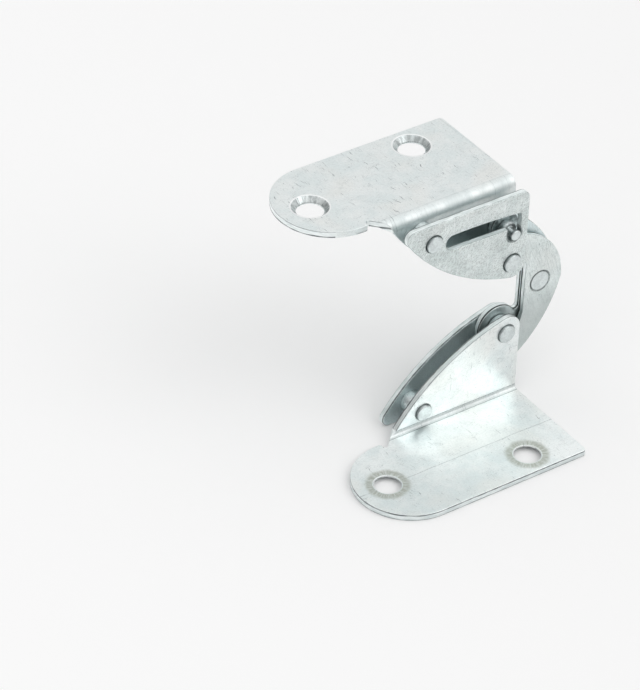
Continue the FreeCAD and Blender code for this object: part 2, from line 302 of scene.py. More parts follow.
class SheetLook:
    """How one sheet piece differs from another, with places in millimetres.

    seed sets its noise apart. grain, peel and marks say how strong its grain, its bumps and its rolling
    marks are, and tone how bright its zinc is. web and flange are the outer and the inner face of its
    upright part and of its level part; an upright plate has no flange. rivets are the joints through it
    and holes its screw holes. scratch is where a long scratch crosses it. depth is how strongly the
    channel shades its web. paired says that another sheet lies close behind its cut edge.
    """

    def __init__(self, seed, grain, peel, marks, web, rivets, flange=None, holes=(), scratch=None,
                 tone=1.0, depth=0.5, paired=False):
        self.seed, self.grain, self.peel, self.marks = seed, grain, peel, marks
        self.web, self.rivets, self.flange, self.holes = web, rivets, flange, holes
        self.scratch, self.tone, self.depth, self.paired = scratch, tone, depth, paired


class SheetZinc(Zinc):
    """Zinc on one sheet piece, where across runs up the web and over the flange."""

    def __init__(self, name, colors, look):
        super().__init__(name, colors, look.seed)
        self.look = look
        self.across = self.z - self.y
        self.flat = self.point(self.x, self.across, self.seed)
        self.clouds = self.noise(self.flat, scale=0.2, detail=4.0, roughness=0.6)
        self.warm = self.noise(self.flat, scale=0.09)
        # The grain leans over, at an angle whose cosine is 0.8 and whose sine is 0.6
        lean = self.x * 0.8 + self.across * 0.6
        rise = self.across * 0.8 - self.x * 0.6
        depth = self.y * 0.7 + self.seed
        self.grain = self.streaks(lean, rise, (2.6, 5.4), depth, detail=3.0, roughness=0.6)
        self.brushed = self.streaks(self.x, self.across, (2.6, 0.22), self.seed, detail=3.0, roughness=0.6)
        outer, inner = look.web
        self.through = (self.y - outer) * (1 / (inner - outer))

    def lay_plate(self):
        """Bright zinc clouded with duller zinc, with a faint tint, grain, brushed streaks and its gloss."""
        look, colors = self.look, self.colors
        clouded = self.step(self.clouds, 0.35, 0.65)
        self.color = self.mix(clouded, rgb(colors.plate, look.tone), rgb(colors.cloud, look.tone))
        self.coat(self.step(self.warm, 0.5, 0.7), colors.tint, strength=0.5, tone=look.tone)
        self.coat(self.step(self.grain, 0.44, 0.64), colors.cloud, strength=look.grain, tone=0.55)
        self.coat(self.step(self.brushed, 0.58, 0.68), colors.plate, strength=look.grain, tone=1.12)
        gloss = self.step(self.clouds, 0.3, 0.7, colors.gloss_low, colors.gloss_high)
        self.roughness = gloss + self.grain * 0.1

    def lay_marks(self):
        """Rolling dashes, pits and hairlines, with the bumps of the sheet."""
        marks = self.look.marks
        dark = self.dashes(marks).most(self.pits()) * min(marks, 1.0)
        self.coat(dark, self.colors.mark, strength=0.85)
        self.coat(self.hairlines(), self.colors.mark, strength=0.32)
        waves = self.noise(self.flat, scale=0.35, detail=2.0)
        self.height = self.grain * self.look.peel - dark * 0.4 + waves * 0.5

    def dashes(self, amount):
        """Short fine dark dashes left by the rolls, running across the hinge, in loose patches."""
        bent = self.x + self.streaks(self.x, self.across, (0.5, 0.5), self.seed) * 1.2
        strokes = self.streaks(bent, self.across, (4.2, 0.27), self.seed, detail=2.0, roughness=0.55)
        patches = self.streaks(self.x, self.across, (0.22, 0.22), self.seed + 7.0, detail=2.0)
        more = 0.05 * amount
        return self.step(strokes, 0.71 - more, 0.76 - more) * self.step(patches, 0.4, 0.56)

    def pits(self):
        """Tiny dark pits."""
        return self.step(self.streaks(self.x, self.across, (2.6, 2.2), self.seed + 3.0), 0.72, 0.77)

    def hairlines(self):
        """Faint fine scratches that run any way."""
        x, across = self.x, self.across
        slant = self.streaks(x, across, (0.3, 0.3), self.seed + 4.0)
        first = self.noise(self.point(x * 0.5 + across * 2.6, (across - x) * 0.25 + slant, self.seed))
        second = self.noise(self.point(x * 2.8 - across * 1.1, across * 0.3 + slant, self.seed + 6.0))
        lines = self.line(first, 0.5, 0.004, 0.012).most(self.line(second, 0.52, 0.003, 0.01))
        return lines * self.step(slant, 0.52, 0.62)

    def on_inner_face(self):
        """1 on the inner face of the web, and 0 through the sheet and outside."""
        return self.step(self.through, 0.95, 0.99)

    def shade_inside(self):
        """Painted shade on the inner face of an upright plate, the face towards the channel's middle."""
        self.coat(self.on_inner_face(), self.colors.shade, strength=0.6)

    def lay_bend(self):
        """A leaf's bend between two dark lines, with painted shade on the outside of the bend and on the
        inner face of its web, stronger up the web away from the bend.
        """
        outer, inner = self.look.flange
        level = (self.z - outer) * (1 / (inner - outer))
        height = abs(self.z - outer)
        on_web = self.step(height, BEND_TOP - 0.3, BEND_TOP + 0.1)
        below_web = 1.0 - on_web
        bend = self.step(self.through, BEND_FOOT - 0.08, BEND_FOOT + 0.05) * below_web
        low_line = self.line(self.through, BEND_FOOT, 0.03, 0.09) * self.step(level, 0.6, 0.9) * below_web
        high_line = self.line(height, BEND_TOP, 0.05, 0.14) * self.fall(self.through, 0.05, 0.15)
        shaded = self.step(height, BEND_TOP, BEND_TOP + 2.0, 0.25, self.look.depth)
        # Painted shade on the inner face of the web, inside the channel
        self.coat(self.on_inner_face() * shaded * on_web, self.colors.shade)
        # Painted shade: the outside of the bend made darker, in blotches
        self.coat(bend * self.step(self.clouds, 0.3, 0.7, 0.3, 0.6), self.colors.cloud, tone=0.72)
        lines = low_line.most(high_line) * self.step(self.grain, 0.3, 0.6, 0.35, 0.75)
        self.coat(lines, self.colors.mark)
        self.roughness = self.roughness + bend * 0.14
        self.through = level + (self.through - level) * on_web

    def round_hole(self, hole):
        """The distance from a screw hole's axis, and the angle round it."""
        away = away_from(self.x, self.y, hole.x, hole.y)
        values = (self.y - hole.y, self.x - hole.x)
        return away, self.node("ShaderNodeMath", {"operation": "ARCTAN2"}, values)[0]

    def lay_countersinks(self):
        """Painted shade on the countersinks' cones, in radial streaks, and painted highlights on their thin
        rims, on the leaf's outer face.
        """
        cones = []
        rims = []
        outside = self.line(self.z, self.look.flange[0], 1.2, 1.35)
        for hole in self.look.holes:
            away, turn = self.round_hole(hole)
            streaks = self.streaks(turn, away, (4.5, 0.6), self.seed + hole.x, detail=3.0, roughness=0.7)
            cone = self.step(away, HOLE_RADIUS - 0.1, HOLE_RADIUS + 0.05)
            cone = cone * self.fall(away, CONE_RADIUS - 0.1, CONE_RADIUS + 0.05)
            cones.append(cone * outside * self.step(streaks, 0.38, 0.62, 0.25, 0.95))
            rims.append(self.line(away, CONE_RADIUS + 0.15, 0.08, 0.2) * outside)
        # Painted shade on the cones
        self.coat(strongest(cones), self.colors.cloud, tone=0.52)
        # Painted highlight on the rims
        self.coat(strongest(rims), self.colors.plate, strength=0.8, tone=1.15)

    def lay_long_scratch(self):
        """One thin scratch that runs the length of the leaf."""
        bow = (self.noise(self.point(self.x * 0.1, 0.0, self.seed)) - 0.5) * 0.9
        line = self.line(self.y + bow, self.look.scratch, 0.05, 0.16)
        self.coat(line * self.step(self.brushed, 0.3, 0.6, 0.12, 0.42), self.colors.mark)

    def lay_scuffs(self):
        """Scuffs and fine streaks along a link, and painted shade on its lower end."""
        rubbed = self.point(self.x * 1.1 + self.z * 0.35, (self.z - self.x * 0.3) * 0.09, self.seed)
        scuffs = self.noise(rubbed, detail=3.0, roughness=0.65)
        streak = self.line(scuffs, 0.5, 0.006, 0.02) * self.step(self.warm, 0.42, 0.58, 0.4, 1.0)
        self.coat(self.step(scuffs, 0.52, 0.72), self.colors.cloud, strength=0.55, tone=0.72)
        self.coat(streak, self.colors.mark, strength=0.3)
        # Painted shade on the link's lower end
        self.coat(self.step(self.z, *LINK_SHADE_FADE, 0.6, 0.0), self.colors.cloud, tone=0.62)

    def lay_cut_edges(self):
        """Sheared edges: layered zinc, a torn line, a dark line by the inner face, and painted shade of the
        gap to a paired sheet.
        """
        mark = self.colors.mark
        edge = self.node("ShaderNodeAttribute", {"attribute_name": "sheared"})[2]
        up = self.y + self.z
        place = up * 0.35 + self.seed
        layers = self.streaks(self.x, self.through, (0.35, 2.4), place, detail=3.0, roughness=0.6)
        waver = self.noise(self.point(self.x * 0.5, 0.0, up * 0.5 + self.seed))
        wander = self.through + (waver - 0.5) * 0.14
        # A dark line along the cut edge near the inner face
        inner_edge_line = self.line(wander, 0.9, 0.08, 0.19)
        tear = self.line(wander, 0.1, 0.03, 0.09) * 0.6
        lines = inner_edge_line.most(tear) * self.step(layers, 0.35, 0.6, 0.65, 1.0)
        bright, dull = rgb(self.colors.plate, tone=1.1), rgb(self.colors.cloud, tone=0.96)
        cut = self.mix(self.step(layers, 0.34, 0.66), bright, dull)
        cut = self.mix(lines, cut, rgb(mark, tone=0.6))
        # Painted shade: the cut edge goes nearly black towards a paired sheet, as the gap behind it
        if self.look.paired:
            cut = self.mix(self.step(wander, 0.6, 0.74) * 0.97, cut, rgb(mark, tone=0.2))
        self.color = self.mix(edge, self.color, cut)
        self.roughness = self.roughness + edge * 0.06
        self.height = self.height + edge * layers * 0.5

    def lay_joint_shade(self):
        """Dark lines in the joints round the rivets and the slide pins, deepened by painted shade, in loose
        patches.
        """
        bands = []
        for rivet in self.look.rivets:
            away = away_from(self.x, self.z, rivet.x, rivet.z)
            # Painted shade in a band just outside each rivet and pin, on top of its dark joint line
            bands.append(self.step(away, rivet.radius + 0.12, rivet.radius + 0.34, rivet.joint_shade, 0.0))
        patches = self.step(self.streaks(self.x, self.z, (0.9, 0.9), 0.0), 0.35, 0.6, 0.45, 1.0)
        self.coat(strongest(bands) * patches, self.colors.mark, tone=0.6)

    def lay_rubbed_rings(self, inner, outer):
        """Zinc rubbed in soft rings round the screw holes, on the leaf's inner face."""
        rings = []
        ragged = (self.noise(self.flat, scale=0.6, detail=3.0, roughness=0.6) - 0.5) * 0.9
        for hole in self.look.holes:
            away, turn = self.round_hole(hole)
            rays = self.streaks(turn, away, (13.0, 0.5), self.seed + hole.x, detail=3.0, roughness=0.65)
            fuzzy = away + ragged + (rays - 0.5) * 1.1
            ring = self.step(away, inner - 0.2, inner + 0.1) * self.fall(fuzzy, outer - 0.8, outer + 0.4)
            ring = ring * self.line(self.z, hole.z, 0.05, 0.12)
            rings.append(ring * self.step(rays, 0.36, 0.62, 0.5, 1.0))
        worn = strongest(rings)
        self.coat(worn, self.colors.worn, strength=0.95)
        self.roughness = self.roughness + worn * 0.1


def sheet_zinc(name, colors, sizes, look):
    """The whole finish of one sheet piece, coat over coat."""
    zinc = SheetZinc(name, colors, look)
    zinc.lay_plate()
    zinc.lay_marks()
    if look.flange is None:
        zinc.shade_inside()
    else:
        zinc.lay_bend()
        zinc.lay_countersinks()
    if look.scratch is not None:
        zinc.lay_long_scratch()
    if look.paired:
        zinc.lay_scuffs()
    zinc.lay_cut_edges()
    zinc.lay_joint_shade()
    if look.holes:
        zinc.lay_rubbed_rings(sizes.ring_inner, sizes.ring_outer)
    return zinc.metal(bump_strength=0.5, bump_distance=0.00012)


def turned_zinc(name, colors, seed, spots, rivets=(), rim_band=0.3, rim_shade=0.75):
    """Zinc on turned steel: smooth and cloudy, with small dark spots and painted shade in a dark band at each
    rim.
    """
    zinc = Zinc(name, colors, seed)
    where = zinc.point(zinc.x, zinc.y, zinc.z + seed)
    clouds = zinc.noise(where, scale=0.8, detail=3.0, roughness=0.6)
    grain = zinc.noise(where, scale=3.0, detail=3.0, roughness=0.7)
    zinc.color = zinc.mix(zinc.step(clouds, 0.35, 0.65), rgb(colors.rivet), rgb(colors.rivet, tone=0.86))
    zinc.coat(zinc.step(grain, 0.4, 0.7), colors.mark, strength=spots)
    for rivet in rivets:
        away = away_from(zinc.x, zinc.z, rivet.x, rivet.z)
        rim = zinc.step(away, rivet.radius - rim_band, rivet.radius - rim_band * 0.3)
        rim = rim * zinc.fall(away, rivet.radius + 0.1, rivet.radius + 0.3)
        # Painted shade in a band at each rim
        zinc.coat(rim, colors.mark, strength=rim_shade, tone=0.6)
    zinc.roughness = zinc.step(clouds, 0.3, 0.7, 0.22, 0.34) + grain * 0.1
    zinc.height = grain + clouds * 0.5
    return zinc.metal(bump_strength=0.4, bump_distance=0.00008)


# Settings

class HingeColors(bpy.types.PropertyGroup):
    """Colours of the plated leaves and rivets"""
    plate: bpy.props.FloatVectorProperty(
        name="Plate", description="Bright zinc on the sheet", subtype="COLOR",
        size=3, min=0, max=1, default=(0.86, 0.90, 0.895))
    cloud: bpy.props.FloatVectorProperty(
        name="Cloud", description="Duller zinc in clouds on the sheet", subtype="COLOR",
        size=3, min=0, max=1, default=(0.78, 0.84, 0.84))
    tint: bpy.props.FloatVectorProperty(
        name="Tint", description="Faint warm tint of the passivated zinc", subtype="COLOR",
        size=3, min=0, max=1, default=(0.86, 0.86, 0.83))
    mark: bpy.props.FloatVectorProperty(
        name="Mark", description="Rolling marks and pits", subtype="COLOR",
        size=3, min=0, max=1, default=(0.22, 0.25, 0.26))
    worn: bpy.props.FloatVectorProperty(
        name="Rubbed ring", description="Rubbed zinc round the screw holes", subtype="COLOR",
        size=3, min=0, max=1, default=(0.47, 0.495, 0.44))
    rivet: bpy.props.FloatVectorProperty(
        name="Rivet", description="Plated rivets, pins and spacers", subtype="COLOR",
        size=3, min=0, max=1, default=(0.78, 0.84, 0.84))
    # Painted shade: the dark colour laid on a leaf's web inside the channel, where little light reaches
    shade: bpy.props.FloatVectorProperty(
        name="Inner face", description="Dull zinc on the faces inside the channel", subtype="COLOR",
        size=3, min=0, max=1, default=(0.31, 0.37, 0.375))
    gloss_low: bpy.props.FloatProperty(
        name="Gloss, bright", description="Roughness of the bright zinc", min=0, max=1, default=0.24)
    gloss_high: bpy.props.FloatProperty(
        name="Gloss, dull", description="Roughness of the clouded zinc", min=0, max=1, default=0.36)


class HingeCheekColors(bpy.types.PropertyGroup):
    """Colours of the grained zinc on cheek plates and links"""
    plate: bpy.props.FloatVectorProperty(
        name="Plate", description="Zinc on the cheek plates and links", subtype="COLOR",
        size=3, min=0, max=1, default=(0.86, 0.92, 0.91))
    cloud: bpy.props.FloatVectorProperty(
        name="Cloud", description="Duller zinc on the cheek plates and links", subtype="COLOR",
        size=3, min=0, max=1, default=(0.76, 0.83, 0.82))
    tint: bpy.props.FloatVectorProperty(
        name="Tint", description="Faint tint of the cheek plates and links", subtype="COLOR",
        size=3, min=0, max=1, default=(0.78, 0.80, 0.78))
    mark: bpy.props.FloatVectorProperty(
        name="Mark", description="Marks on the cheek plates and links", subtype="COLOR",
        size=3, min=0, max=1, default=(0.22, 0.27, 0.27))
    # Painted shade: the colour laid on the inner faces of the cheek plates and links, which face into the
    # channel
    shade: bpy.props.FloatVectorProperty(
        name="Inner face", description="Dull zinc on the faces inside the channel", subtype="COLOR",
        size=3, min=0, max=1, default=(0.76, 0.88, 0.90))
    gloss_low: bpy.props.FloatProperty(
        name="Gloss, bright", description="Roughness of the brighter zinc", min=0, max=1, default=0.30)
    gloss_high: bpy.props.FloatProperty(
        name="Gloss, dull", description="Roughness of the duller zinc", min=0, max=1, default=0.44)


class HingeSizes(bpy.types.PropertyGroup):
    """Sizes of the modelled details"""
    leaf_round: bpy.props.FloatProperty(
        name="Leaf edge", description="Rounding of the leaf's sheared edges",
        unit="LENGTH", subtype="DISTANCE", min=0, default=0.00013)
    cheek_round: bpy.props.FloatProperty(
        name="Cheek edge", description="Rolled rounding of the cheek plate's edges",
        unit="LENGTH", subtype="DISTANCE", min=0, default=0.0003)
    link_round: bpy.props.FloatProperty(
        name="Link edge", description="Rounding of the links' edges",
        unit="LENGTH", subtype="DISTANCE", min=0, default=0.00022)
    rivet_round: bpy.props.FloatProperty(
        name="Rivet rim", description="Rounding of a rivet's rim",
        unit="LENGTH", subtype="DISTANCE", min=0, default=0.0003)
    spacer_round: bpy.props.FloatProperty(
        name="Spacer rim", description="Rounding of the rims of spacers, sleeves and the elbow rivet",
        unit="LENGTH", subtype="DISTANCE", min=0, default=0.00018)
    screw_run: bpy.props.FloatProperty(
        name="Screw run", min=0, default=15.5,
        description="Half the distance between the screw holes along the leaf, in millimetres")
    countersink: bpy.props.FloatProperty(
        name="Countersink", min=0, default=4.3,
        description="Radius that takes in a screw hole's countersink, in millimetres")
    # Painted shade in the slot round its pin reaches out to this radius
    slot_shade: bpy.props.FloatProperty(
        name="Slot grease", min=0, default=1.9,
        description="Radius of the grease on the slot round its pin, in millimetres")
    # Painted shade on a link round its slide pin reaches out to this radius
    link_shade: bpy.props.FloatProperty(
        name="Link grease", min=0, default=3.2,
        description="Radius of the grease on a link round its slide pin, in millimetres")
    slide_tip: bpy.props.FloatProperty(
        name="Slide tip", min=0, default=1.25,
        description="Radius of a slide pin's tip, in millimetres")
    scratch: bpy.props.FloatProperty(
        name="Long scratch", default=3.3,
        description="Place across the lower leaf of its long scratch, in millimetres")
    ring_inner: bpy.props.FloatProperty(
        name="Rubbed ring, inner", min=0, default=3.25,
        description="Inner radius of the rubbed ring, in millimetres")
    ring_outer: bpy.props.FloatProperty(
        name="Rubbed ring, outer", min=0, default=4.95,
        description="Outer radius of the rubbed ring, in millimetres")


class StageSettings(bpy.types.PropertyGroup):
    """Camera, light and floor"""
    distance: bpy.props.FloatProperty(
        name="Camera distance", description="From the camera to the point it looks at",
        unit="LENGTH", subtype="DISTANCE", default=0.804624)
    elevation: bpy.props.FloatProperty(
        name="Elevation", description="Camera's angle above the horizon",
        subtype="ANGLE", default=math.radians(37.067))
    azimuth: bpy.props.FloatProperty(
        name="Azimuth", description="Camera's turn round the hinge",
        subtype="ANGLE", default=math.radians(-35.87))
    roll: bpy.props.FloatProperty(
        name="Roll", description="Camera's tilt to the side",
        subtype="ANGLE", default=math.radians(2.477))
    lens: bpy.props.FloatProperty(
        name="Lens", description="Focal length for a 36 mm long side, in millimetres", default=190.86)
    target: bpy.props.FloatVectorProperty(
        name="Target", description="Point the camera looks at", subtype="XYZ", unit="LENGTH",
        size=3, default=(0.0009137, 0.0526346, -0.0015))
    floor_color: bpy.props.FloatVectorProperty(
        name="Floor", description="Colour of the floor", subtype="COLOR",
        size=3, min=0, max=1, default=(0.98, 0.98, 0.98))
    horizon: bpy.props.FloatProperty(
        name="Horizon", description="Strength of the light at the horizon", min=0, default=0.9)
    surround: bpy.props.FloatProperty(
        name="Surround", description="Strength of the light from all round", min=0, default=0.335)
    overhead: bpy.props.FloatProperty(
        name="Overhead", description="Strength added towards the zenith", min=0, default=0.72)
    right_box: bpy.props.FloatProperty(
        name="Right softbox", description="Strength of the softbox on the right", min=0, default=0.5)
    front_box: bpy.props.FloatProperty(
        name="Front softbox", description="Strength of the softbox on the right in front",
        min=0, default=1.06)
    back_box: bpy.props.FloatProperty(
        name="Back softbox", description="Strength of the wide softbox behind", min=0, default=0.2)


# Places read from the frame

def node_centre(name):
    """The middle of a node's box, and its extent."""
    low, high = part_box(name)
    return (low + high) / 2, (high - low)


def round_rivet(name, joint_shade=STUB_JOINT_SHADE):
    """The circle of a rivet that runs along Y, in millimetres."""
    centre, extent = node_centre(name)
    return Circle(centre.x / MM, centre.y / MM, centre.z / MM, extent.x / 2 / MM, joint_shade)


def stub_rivets(half):
    """The circles of one half's pivot rivet and end rivet."""
    return [round_rivet(f"{half}_{kind}_rivet") for kind in STUBS]


def round_slide_pin(side, radius):
    """A circle of painted shade round a slide pin where it rests."""
    pin = round_rivet(side + "_slide_pin")
    return Circle(pin.x, pin.y, pin.z, radius, PIN_JOINT_SHADE)


def channel_middle():
    """The plane midway between the links, in millimetres."""
    return node_centre("elbow_rivet")[0].y / MM


def upright_faces(name):
    """The two sides of a sheet's box across the channel, in millimetres, with the inner one last."""
    low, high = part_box(name)
    return tuple(sorted((low.y / MM, high.y / MM), key=lambda face: -abs(face - channel_middle())))


def screw_holes(half, sizes):
    """A leaf's countersunk screw holes on its inner face, from the record's mount."""
    mount = next(m for m in frame["record"]["mounts"] if m["name"] == half + "_screws")
    x, y, z = [value / MM for value in mount["pos_m"]]
    reach = mount["dims"]["pcd_mm"] / 2
    run = sizes.screw_run
    drop = math.sqrt(reach ** 2 - run ** 2)
    if half == "upper":
        drop = -drop
    return [Circle(x + run, y - drop, z, sizes.countersink), Circle(x - run, y + drop, z, sizes.countersink)]


# Geometry helpers

def deselect():
    if bpy.context.mode != "OBJECT":
        bpy.ops.object.mode_set(mode="OBJECT")
    bpy.ops.object.select_all(action="DESELECT")


def take(piece):
    """Selects one piece alone and makes it the active one."""
    deselect()
    piece.hide_viewport = False
    piece.select_set(True)
    bpy.context.view_layer.objects.active = piece


def rounded_copy(node, name, width, segments, material, is_sheared=None):
    """A node's own shape with its edges rounded, which then stands for the node."""
    take(frame["nodes"][node])
    body = frame["nodes"][node]["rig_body"]
    bpy.ops.object.duplicate()
    piece = bpy.context.active_object
    piece.parent = None
    del piece["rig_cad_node"]
    piece.name = name
    piece.data.name = name
    bpy.ops.object.mode_set(mode="EDIT")
    bpy.ops.mesh.select_all(action="SELECT")
    bpy.ops.mesh.remove_doubles(threshold=MERGE_WITHIN)
    bpy.ops.mesh.dissolve_limited(angle_limit=FLAT_ANGLE, delimit={"NORMAL"})
    bpy.ops.mesh.customdata_custom_splitnormals_clear()
    bpy.ops.object.mode_set(mode="OBJECT")
    round_edges(piece, width, segments)
    if is_sheared is not None:
        mark_sheared(piece, is_sheared)
    finish_piece(piece, material)
    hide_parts(node)
    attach(piece, body)


def round_edges(piece, width, segments):
    take(piece)
    bevel = piece.modifiers.new("edges", "BEVEL")
    bevel.width = width
    bevel.segments = segments
    bevel.limit_method = "ANGLE"
    bevel.angle_limit = EDGE_ANGLE
    bevel.use_clamp_overlap = False
    bpy.ops.object.modifier_apply(modifier=bevel.name)


def mark_sheared(piece, is_sheared):
    """Writes on each face whether the shears cut it, from its middle in millimetres and its direction."""
    values = piece.data.attributes.new("sheared", "FLOAT", "FACE").data
    for face, value in zip(piece.data.polygons, values):
        value.value = float(is_sheared(face.center / MM, face.normal))


def finish_piece(piece, material):
    """Smooth shading with flat faces kept flat, and one finish."""
    take(piece)
    bpy.ops.object.shade_smooth_by_angle(angle=SMOOTH_ANGLE)
    weigh = piece.modifiers.new("flats", "WEIGHTED_NORMAL")
    weigh.keep_sharp = True
    bpy.ops.object.modifier_apply(modifier=weigh.name)
    piece.data.materials.clear()
    piece.data.materials.append(material)


def pick_faces(piece, test):
    """Selects faces in edit mode by a test of centre and normal, both on the piece's own axes."""
    bpy.ops.mesh.select_mode(type="FACE")
    bpy.ops.mesh.select_all(action="DESELECT")
    shape = bmesh.from_edit_mesh(piece.data)
    for face in shape.faces:
        face.select = test(face.calc_center_median(), face.normal)
    shape.select_flush_mode()
    bmesh.update_edit_mesh(piece.data)


def add_round_bar(name, radius, length, place):
    """A bar along Y at a place, left in edit mode with its ends not yet shaped."""
    deselect()
    bpy.ops.mesh.primitive_cylinder_add(vertices=BAR_SIDES, radius=radius, depth=length,
                                        end_fill_type="NGON", location=place, rotation=ALONG_Y)
    bar = bpy.context.active_object
    bar.name = name
    bar.data.name = name
    take(bar)
    bpy.ops.object.transform_apply(location=True, rotation=True, scale=True)
    bpy.ops.object.mode_set(mode="EDIT")
    return bar


def on_end(place, length, side, reach=0.00002, facing=0.9999):
    """A test for the flat end face of a bar on one side."""
    edge = place.y + side * length / 2
    return lambda centre, normal: abs(centre.y - edge) < reach and normal.y * side > facing


# Pieces

class HINGE_OT_leaves(bpy.types.Operator):
    """Round the leaves' sheared edges and finish them in bright rolled zinc with rubbed rings"""
    bl_idname = "hinge.leaves"
    bl_label = "Leaves"

    def execute(self, context):
        colors = context.scene.hinge_colors
        sizes = context.scene.hinge_sizes
        for half in HALVES:
            node = half + "_leaf"
            holes = screw_holes(half, sizes)
            low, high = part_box(node)
            outer = (low if half == "lower" else high).z / MM
            inner = holes[0].z
            sheet = abs(inner - outer)
            web = upright_faces(node)[1]
            web_back = web + (sheet if web > channel_middle() else -sheet)
            scratch = sizes.scratch if half == "lower" else None
            look = SheetLook(grain=0.2, peel=0.4, web=(web_back, web), rivets=stub_rivets(half),
                             flange=(outer, inner), holes=holes, scratch=scratch, **LEAF_LOOKS[half])
            material = sheet_zinc("zinc_leaf_" + half, colors, sizes, look)
            rounded_copy(node, half + "_bent_leaf", sizes.leaf_round, EDGE_STEPS, material,
                         leaf_shears(look, sheet))
        return {"FINISHED"}


def leaf_shears(look, sheet):
    """A test for the faces of a leaf that the shears cut, which leaves out the screw holes."""
    outer = look.flange[0]
    bend_height = BEND_SHEETS * sheet

    def is_sheared(middle, normal):
        if any(math.dist((middle.x, middle.y), (hole.x, hole.y)) < hole.radius for hole in look.holes):
            return False
        if abs(middle.z - outer) > bend_height:
            return plate_shears(middle, normal)
        beside_web = abs(middle.y - look.web[0]) < bend_height
        return abs(normal.x) > CUT_LEAN if beside_web else abs(normal.z) < CUT_LEAN

    return is_sheared


def plate_shears(middle, normal):
    """Whether the shears cut a face of an upright plate, wherever its middle is."""
    return abs(normal.y) < CUT_LEAN


class HINGE_OT_cheeks(bpy.types.Operator):
    """Roll the edges of the slotted cheek plates and finish them in grained zinc"""
    bl_idname = "hinge.cheeks"
    bl_label = "Cheek plates"

    def execute(self, context):
        colors = context.scene.hinge_cheek_colors
        sizes = context.scene.hinge_sizes
        for half in HALVES:
            node = half + "_cheek_plate"
            rivets = stub_rivets(half) + [round_slide_pin(SLIDES_IN[half], sizes.slot_shade)]
            look = SheetLook(seed=CHEEK_SEEDS[half], grain=0.68, peel=2.0, marks=0.35,
                             web=upright_faces(node), rivets=rivets)
            material = sheet_zinc("zinc_cheek_" + half, colors, sizes, look)
            rounded_copy(node, half + "_slotted_cheek", sizes.cheek_round, ROLLED_STEPS, material,
                         plate_shears)
        return {"FINISHED"}


class HINGE_OT_links(bpy.types.Operator):
    """Round the edges of the crossed links and finish them"""
    bl_idname = "hinge.links"
    bl_label = "Links"

    def execute(self, context):
        colors = context.scene.hinge_cheek_colors
        sizes = context.scene.hinge_sizes
        for side in SIDES:
            node = side + "_link"
            rivets = [round_rivet("elbow_rivet", ELBOW_JOINT_SHADE), round_slide_pin(side, sizes.link_shade)]
            look = SheetLook(seed=LINK_SEEDS[side], grain=0.25, peel=0.8, marks=1.2,
                             web=upright_faces(node), rivets=rivets, paired=True)
            material = sheet_zinc("zinc_link_" + side, colors, sizes, look)
            rounded_copy(node, side + "_crescent_link", sizes.link_round, EDGE_STEPS, material,
                         plate_shears)
        return {"FINISHED"}


class HINGE_OT_spacers(bpy.types.Operator):
    """Round the rims of spacers, sleeves, slide pins and the elbow rivet, and finish them"""
    bl_idname = "hinge.spacers"
    bl_label = "Spacers and pins"

    def execute(self, context):
        colors = context.scene.hinge_colors
        sizes = context.scene.hinge_sizes
        width = sizes.spacer_round
        elbow = [round_rivet("elbow_rivet")]
        tips = [round_slide_pin(side, sizes.slide_tip) for side in SIDES]
        steel = turned_zinc("zinc_spacer", colors, seed=5.0, spots=0.5)
        flush = turned_zinc("zinc_elbow", colors, seed=8.0, spots=0.2, rivets=elbow, rim_band=0.36)
        studs = turned_zinc("zinc_stud", colors, seed=15.0, spots=0.15, rivets=tips, rim_band=0.14)
        turned = [(f"{half}_{kind}_spacer", f"{half}_{kind}_barrel", width, steel)
                  for half in HALVES for kind in STUBS]
        for side in SIDES:
            turned.append((side + "_slide_sleeve", side + "_slide_roller", width, steel))
            turned.append((side + "_slide_pin", side + "_slide_stud", width / 2, studs))
        turned.append(("elbow_rivet", "elbow_flush_rivet", width, flush))
        for node, name, rim, material in turned:
            rounded_copy(node, name, rim, EDGE_STEPS, material)
        return {"FINISHED"}


class HINGE_OT_rivets(bpy.types.Operator):
    """Model the stub rivets with rounded rims and slightly dished ends"""
    bl_idname = "hinge.rivets"
    bl_label = "Stub rivets"

    def execute(self, context):
        colors = context.scene.hinge_colors
        width = context.scene.hinge_sizes.rivet_round
        stubs = stub_rivets("lower") + stub_rivets("upper")
        steel = turned_zinc("zinc_rivet", colors, seed=11.0, spots=0.2, rivets=stubs,
                            rim_band=0.14, rim_shade=0.55)
        for half in HALVES:
            for kind in STUBS:
                node = f"{half}_{kind}_rivet"
                place, extent = node_centre(node)
                rivet = add_round_bar(node + "_peened", extent.x / 2, extent.y, place)
                for side in (-1, 1):
                    pick_faces(rivet, on_end(place, extent.y, side))
                    bpy.ops.mesh.bevel(offset=width, segments=RIM_STEPS, profile=0.5)
                    pick_faces(rivet, on_end(place, extent.y, side))
                    bpy.ops.mesh.inset(thickness=extent.x * DISH_RIM, depth=0)
                    bpy.ops.mesh.inset(thickness=extent.x * DISH_SLOPE, depth=-DISH_DEPTH)
                bpy.ops.object.mode_set(mode="OBJECT")
                finish_piece(rivet, steel)
                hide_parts(node)
                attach(rivet, half + "_half")
        return {"FINISHED"}


class HINGE_OT_stage(bpy.types.Operator):
    """Set the camera, the light and the pale floor"""
    bl_idname = "hinge.stage"
    bl_label = "Stage"

    def execute(self, context):
        stage = context.scene.hinge_stage
        set_camera(context.scene, stage)
        set_floor(stage)
        set_light(context.scene, stage)
        context.scene.view_settings.view_transform = "Standard"
        return {"FINISHED"}


